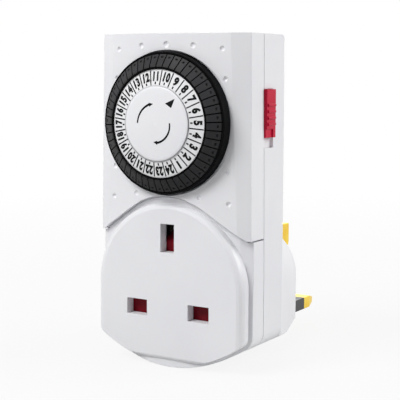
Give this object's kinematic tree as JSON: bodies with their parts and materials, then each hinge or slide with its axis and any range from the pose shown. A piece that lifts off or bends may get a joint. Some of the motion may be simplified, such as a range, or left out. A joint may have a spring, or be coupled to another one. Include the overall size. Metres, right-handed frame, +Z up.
{
  "type": "plug-in timer switch",
  "caption": "Plug-in mechanical day timer with a push-segment dial above a shuttered socket outlet, plug pins at the back and a sliding override at the side",
  "frame": {"origin": "on the plug face at the back, midway between the line and neutral pins", "axes": "+Z up, +Y the way the pins point into the wall socket, +X towards the override slider; the dial and the socket face towards -Y"},
  "size_m": [0.055, 0.0865, 0.1018],
  "materials": {
    "white_plastic": "satin moulded plastic",
    "zinc_steel": "zinc plated",
    "brass": "machined",
    "dark_sleeve": "moulded",
    "ivory_plastic": "moulded",
    "black_plastic": "polished",
    "enamelled_copper": "varnished",
    "blue_pvc": "plain",
    "dark_red_plastic": "moulded",
    "red_plastic": "moulded",
    "ferrite": "sintered",
    "scale_plastic": "plain",
    "charcoal_plastic": "fine texture"
  },
  "bodies": {
    "housing": {"rear_housing": "white_plastic", "timer_cover": "white_plastic", "socket_cover": "white_plastic", "case_screws": "zinc_steel", "earth_pin": "brass", "line_pin": "brass", "neutral_pin": "brass", "pin_sleeves": "dark_sleeve", "contact_carrier": "ivory_plastic", "shutter_spring": "zinc_steel", "line_contact": "brass", "neutral_contact": "brass", "earth_contact": "brass", "line_busbar": "brass", "switched_busbar": "brass", "neutral_busbar": "brass", "lever_pin": "zinc_steel", "microswitch_body": "black_plastic", "fixed_contact": "brass", "movement_plate": "ivory_plastic", "motor_case": "zinc_steel", "coil_bobbin": "ivory_plastic", "coil_winding": "enamelled_copper", "centre_cap": "white_plastic", "dial_axle": "zinc_steel", "motor_leads": "blue_pvc"},
    "shutter": {"shutter": "dark_red_plastic"},
    "override_slider": {"override_slider": "red_plastic"},
    "switch_lever": {"switch_lever": "ivory_plastic"},
    "plunger": {"microswitch_plunger": "red_plastic"},
    "blade": {"contact_blade": "brass"},
    "rotor": {"motor_rotor": "ferrite"},
    "output_pinion": {"output_pinion": "zinc_steel"},
    "idler": {"idler_gear": "ivory_plastic"},
    "dial": {"dial_carrier": "black_plastic", "hour_scale": "scale_plastic"},
    "tappets_hour_1": {"tappets_hour_1": "charcoal_plastic"},
    "tappets_hour_2": {"tappets_hour_2": "charcoal_plastic"},
    "tappets_hour_3": {"tappets_hour_3": "charcoal_plastic"},
    "tappets_hour_4": {"tappets_hour_4": "charcoal_plastic"},
    "tappets_hour_5": {"tappets_hour_5": "charcoal_plastic"},
    "tappets_hour_6": {"tappets_hour_6": "charcoal_plastic"},
    "tappets_hour_7": {"tappets_hour_7": "charcoal_plastic"},
    "tappets_hour_8": {"tappets_hour_8": "charcoal_plastic"},
    "tappets_hour_9": {"tappets_hour_9": "charcoal_plastic"},
    "tappets_hour_10": {"tappets_hour_10": "charcoal_plastic"},
    "tappets_hour_11": {"tappets_hour_11": "charcoal_plastic"},
    "tappets_hour_12": {"tappets_hour_12": "charcoal_plastic"},
    "tappets_hour_13": {"tappets_hour_13": "charcoal_plastic"},
    "tappets_hour_14": {"tappets_hour_14": "charcoal_plastic"},
    "tappets_hour_15": {"tappets_hour_15": "charcoal_plastic"},
    "tappets_hour_16": {"tappets_hour_16": "charcoal_plastic"},
    "tappets_hour_17": {"tappets_hour_17": "charcoal_plastic"},
    "tappets_hour_18": {"tappets_hour_18": "charcoal_plastic"},
    "tappets_hour_19": {"tappets_hour_19": "charcoal_plastic"},
    "tappets_hour_20": {"tappets_hour_20": "charcoal_plastic"},
    "tappets_hour_21": {"tappets_hour_21": "charcoal_plastic"},
    "tappets_hour_22": {"tappets_hour_22": "charcoal_plastic"},
    "tappets_hour_23": {"tappets_hour_23": "charcoal_plastic"},
    "tappets_hour_24": {"tappets_hour_24": "charcoal_plastic"}
  },
  "joints": [
    {"name": "shutter_slide", "type": "slide", "parent": "housing", "child": "shutter", "axis": [0, 0, -1], "range_m": [0, 0.0065], "stiffness_N_per_m": 60, "springref_m": -0.004, "deforming": ["shutter_spring"]},
    {"name": "override_slide", "type": "slide", "parent": "housing", "child": "override_slider", "axis": [0, 0, -1], "range_m": [0, 0.003]},
    {"name": "lever_pivot", "type": "hinge", "parent": "housing", "child": "switch_lever", "pos_m": [0, -0.0522, 0.0874], "axis": [1, 0, 0], "range_deg": [0, 10]},
    {"name": "plunger_slide", "type": "slide", "parent": "housing", "child": "plunger", "axis": [0, 1, 0], "range_m": [0, 0.0009]},
    {"name": "blade_pivot", "type": "hinge", "parent": "housing", "child": "blade", "pos_m": [0.0034, -0.0449, 0.0841], "axis": [0, 0, 1], "range_deg": [0, 5.5]},
    {"name": "dial_spin", "type": "hinge", "parent": "housing", "child": "dial", "pos_m": [0, -0.056, 0.0653], "axis": [0, 1, 0], "continuous": true},
    {"name": "idler_spin", "type": "hinge", "parent": "housing", "child": "idler", "pos_m": [-0.00905, -0.052, 0.04963], "axis": [0, 1, 0], "continuous": true},
    {"name": "output_spin", "type": "hinge", "parent": "housing", "child": "output_pinion", "pos_m": [0.00336, -0.05, 0.05181], "axis": [0, 1, 0], "continuous": true},
    {"name": "rotor_spin", "type": "hinge", "parent": "housing", "child": "rotor", "pos_m": [0, -0.043, 0.062], "axis": [0, 1, 0], "continuous": true},
    {"name": "hour_1_push", "type": "slide", "parent": "dial", "child": "tappets_hour_1", "axis": [0, 1, 0], "range_m": [0, 0.002]},
    {"name": "hour_2_push", "type": "slide", "parent": "dial", "child": "tappets_hour_2", "axis": [0, 1, 0], "range_m": [0, 0.002]},
    {"name": "hour_3_push", "type": "slide", "parent": "dial", "child": "tappets_hour_3", "axis": [0, 1, 0], "range_m": [0, 0.002]},
    {"name": "hour_4_push", "type": "slide", "parent": "dial", "child": "tappets_hour_4", "axis": [0, 1, 0], "range_m": [0, 0.002]},
    {"name": "hour_5_push", "type": "slide", "parent": "dial", "child": "tappets_hour_5", "axis": [0, 1, 0], "range_m": [0, 0.002]},
    {"name": "hour_6_push", "type": "slide", "parent": "dial", "child": "tappets_hour_6", "axis": [0, 1, 0], "range_m": [0, 0.002]},
    {"name": "hour_7_push", "type": "slide", "parent": "dial", "child": "tappets_hour_7", "axis": [0, 1, 0], "range_m": [0, 0.002]},
    {"name": "hour_8_push", "type": "slide", "parent": "dial", "child": "tappets_hour_8", "axis": [0, 1, 0], "range_m": [0, 0.002]},
    {"name": "hour_9_push", "type": "slide", "parent": "dial", "child": "tappets_hour_9", "axis": [0, 1, 0], "range_m": [0, 0.002]},
    {"name": "hour_10_push", "type": "slide", "parent": "dial", "child": "tappets_hour_10", "axis": [0, 1, 0], "range_m": [0, 0.002]},
    {"name": "hour_11_push", "type": "slide", "parent": "dial", "child": "tappets_hour_11", "axis": [0, 1, 0], "range_m": [0, 0.002]},
    {"name": "hour_12_push", "type": "slide", "parent": "dial", "child": "tappets_hour_12", "axis": [0, 1, 0], "range_m": [0, 0.002]},
    {"name": "hour_13_push", "type": "slide", "parent": "dial", "child": "tappets_hour_13", "axis": [0, 1, 0], "range_m": [0, 0.002]},
    {"name": "hour_14_push", "type": "slide", "parent": "dial", "child": "tappets_hour_14", "axis": [0, 1, 0], "range_m": [0, 0.002]},
    {"name": "hour_15_push", "type": "slide", "parent": "dial", "child": "tappets_hour_15", "axis": [0, 1, 0], "range_m": [0, 0.002]},
    {"name": "hour_16_push", "type": "slide", "parent": "dial", "child": "tappets_hour_16", "axis": [0, 1, 0], "range_m": [0, 0.002]},
    {"name": "hour_17_push", "type": "slide", "parent": "dial", "child": "tappets_hour_17", "axis": [0, 1, 0], "range_m": [0, 0.002]},
    {"name": "hour_18_push", "type": "slide", "parent": "dial", "child": "tappets_hour_18", "axis": [0, 1, 0], "range_m": [0, 0.002]},
    {"name": "hour_19_push", "type": "slide", "parent": "dial", "child": "tappets_hour_19", "axis": [0, 1, 0], "range_m": [0, 0.002]},
    {"name": "hour_20_push", "type": "slide", "parent": "dial", "child": "tappets_hour_20", "axis": [0, 1, 0], "range_m": [0, 0.002]},
    {"name": "hour_21_push", "type": "slide", "parent": "dial", "child": "tappets_hour_21", "axis": [0, 1, 0], "range_m": [0, 0.002]},
    {"name": "hour_22_push", "type": "slide", "parent": "dial", "child": "tappets_hour_22", "axis": [0, 1, 0], "range_m": [0, 0.002]},
    {"name": "hour_23_push", "type": "slide", "parent": "dial", "child": "tappets_hour_23", "axis": [0, 1, 0], "range_m": [0, 0.002]},
    {"name": "hour_24_push", "type": "slide", "parent": "dial", "child": "tappets_hour_24", "axis": [0, 1, 0], "range_m": [0, 0.002]}
  ],
  "couplings": [
    {"joint": "lever_pivot", "follows": "override_slide", "rad_per_m": 58.17},
    {"joint": "plunger_slide", "follows": "override_slide", "ratio": 0.2999},
    {"joint": "blade_pivot", "follows": "override_slide", "rad_per_m": 31.99},
    {"joint": "idler_spin", "follows": "dial_spin", "ratio": -5},
    {"joint": "output_spin", "follows": "dial_spin", "ratio": 20}
  ]
}
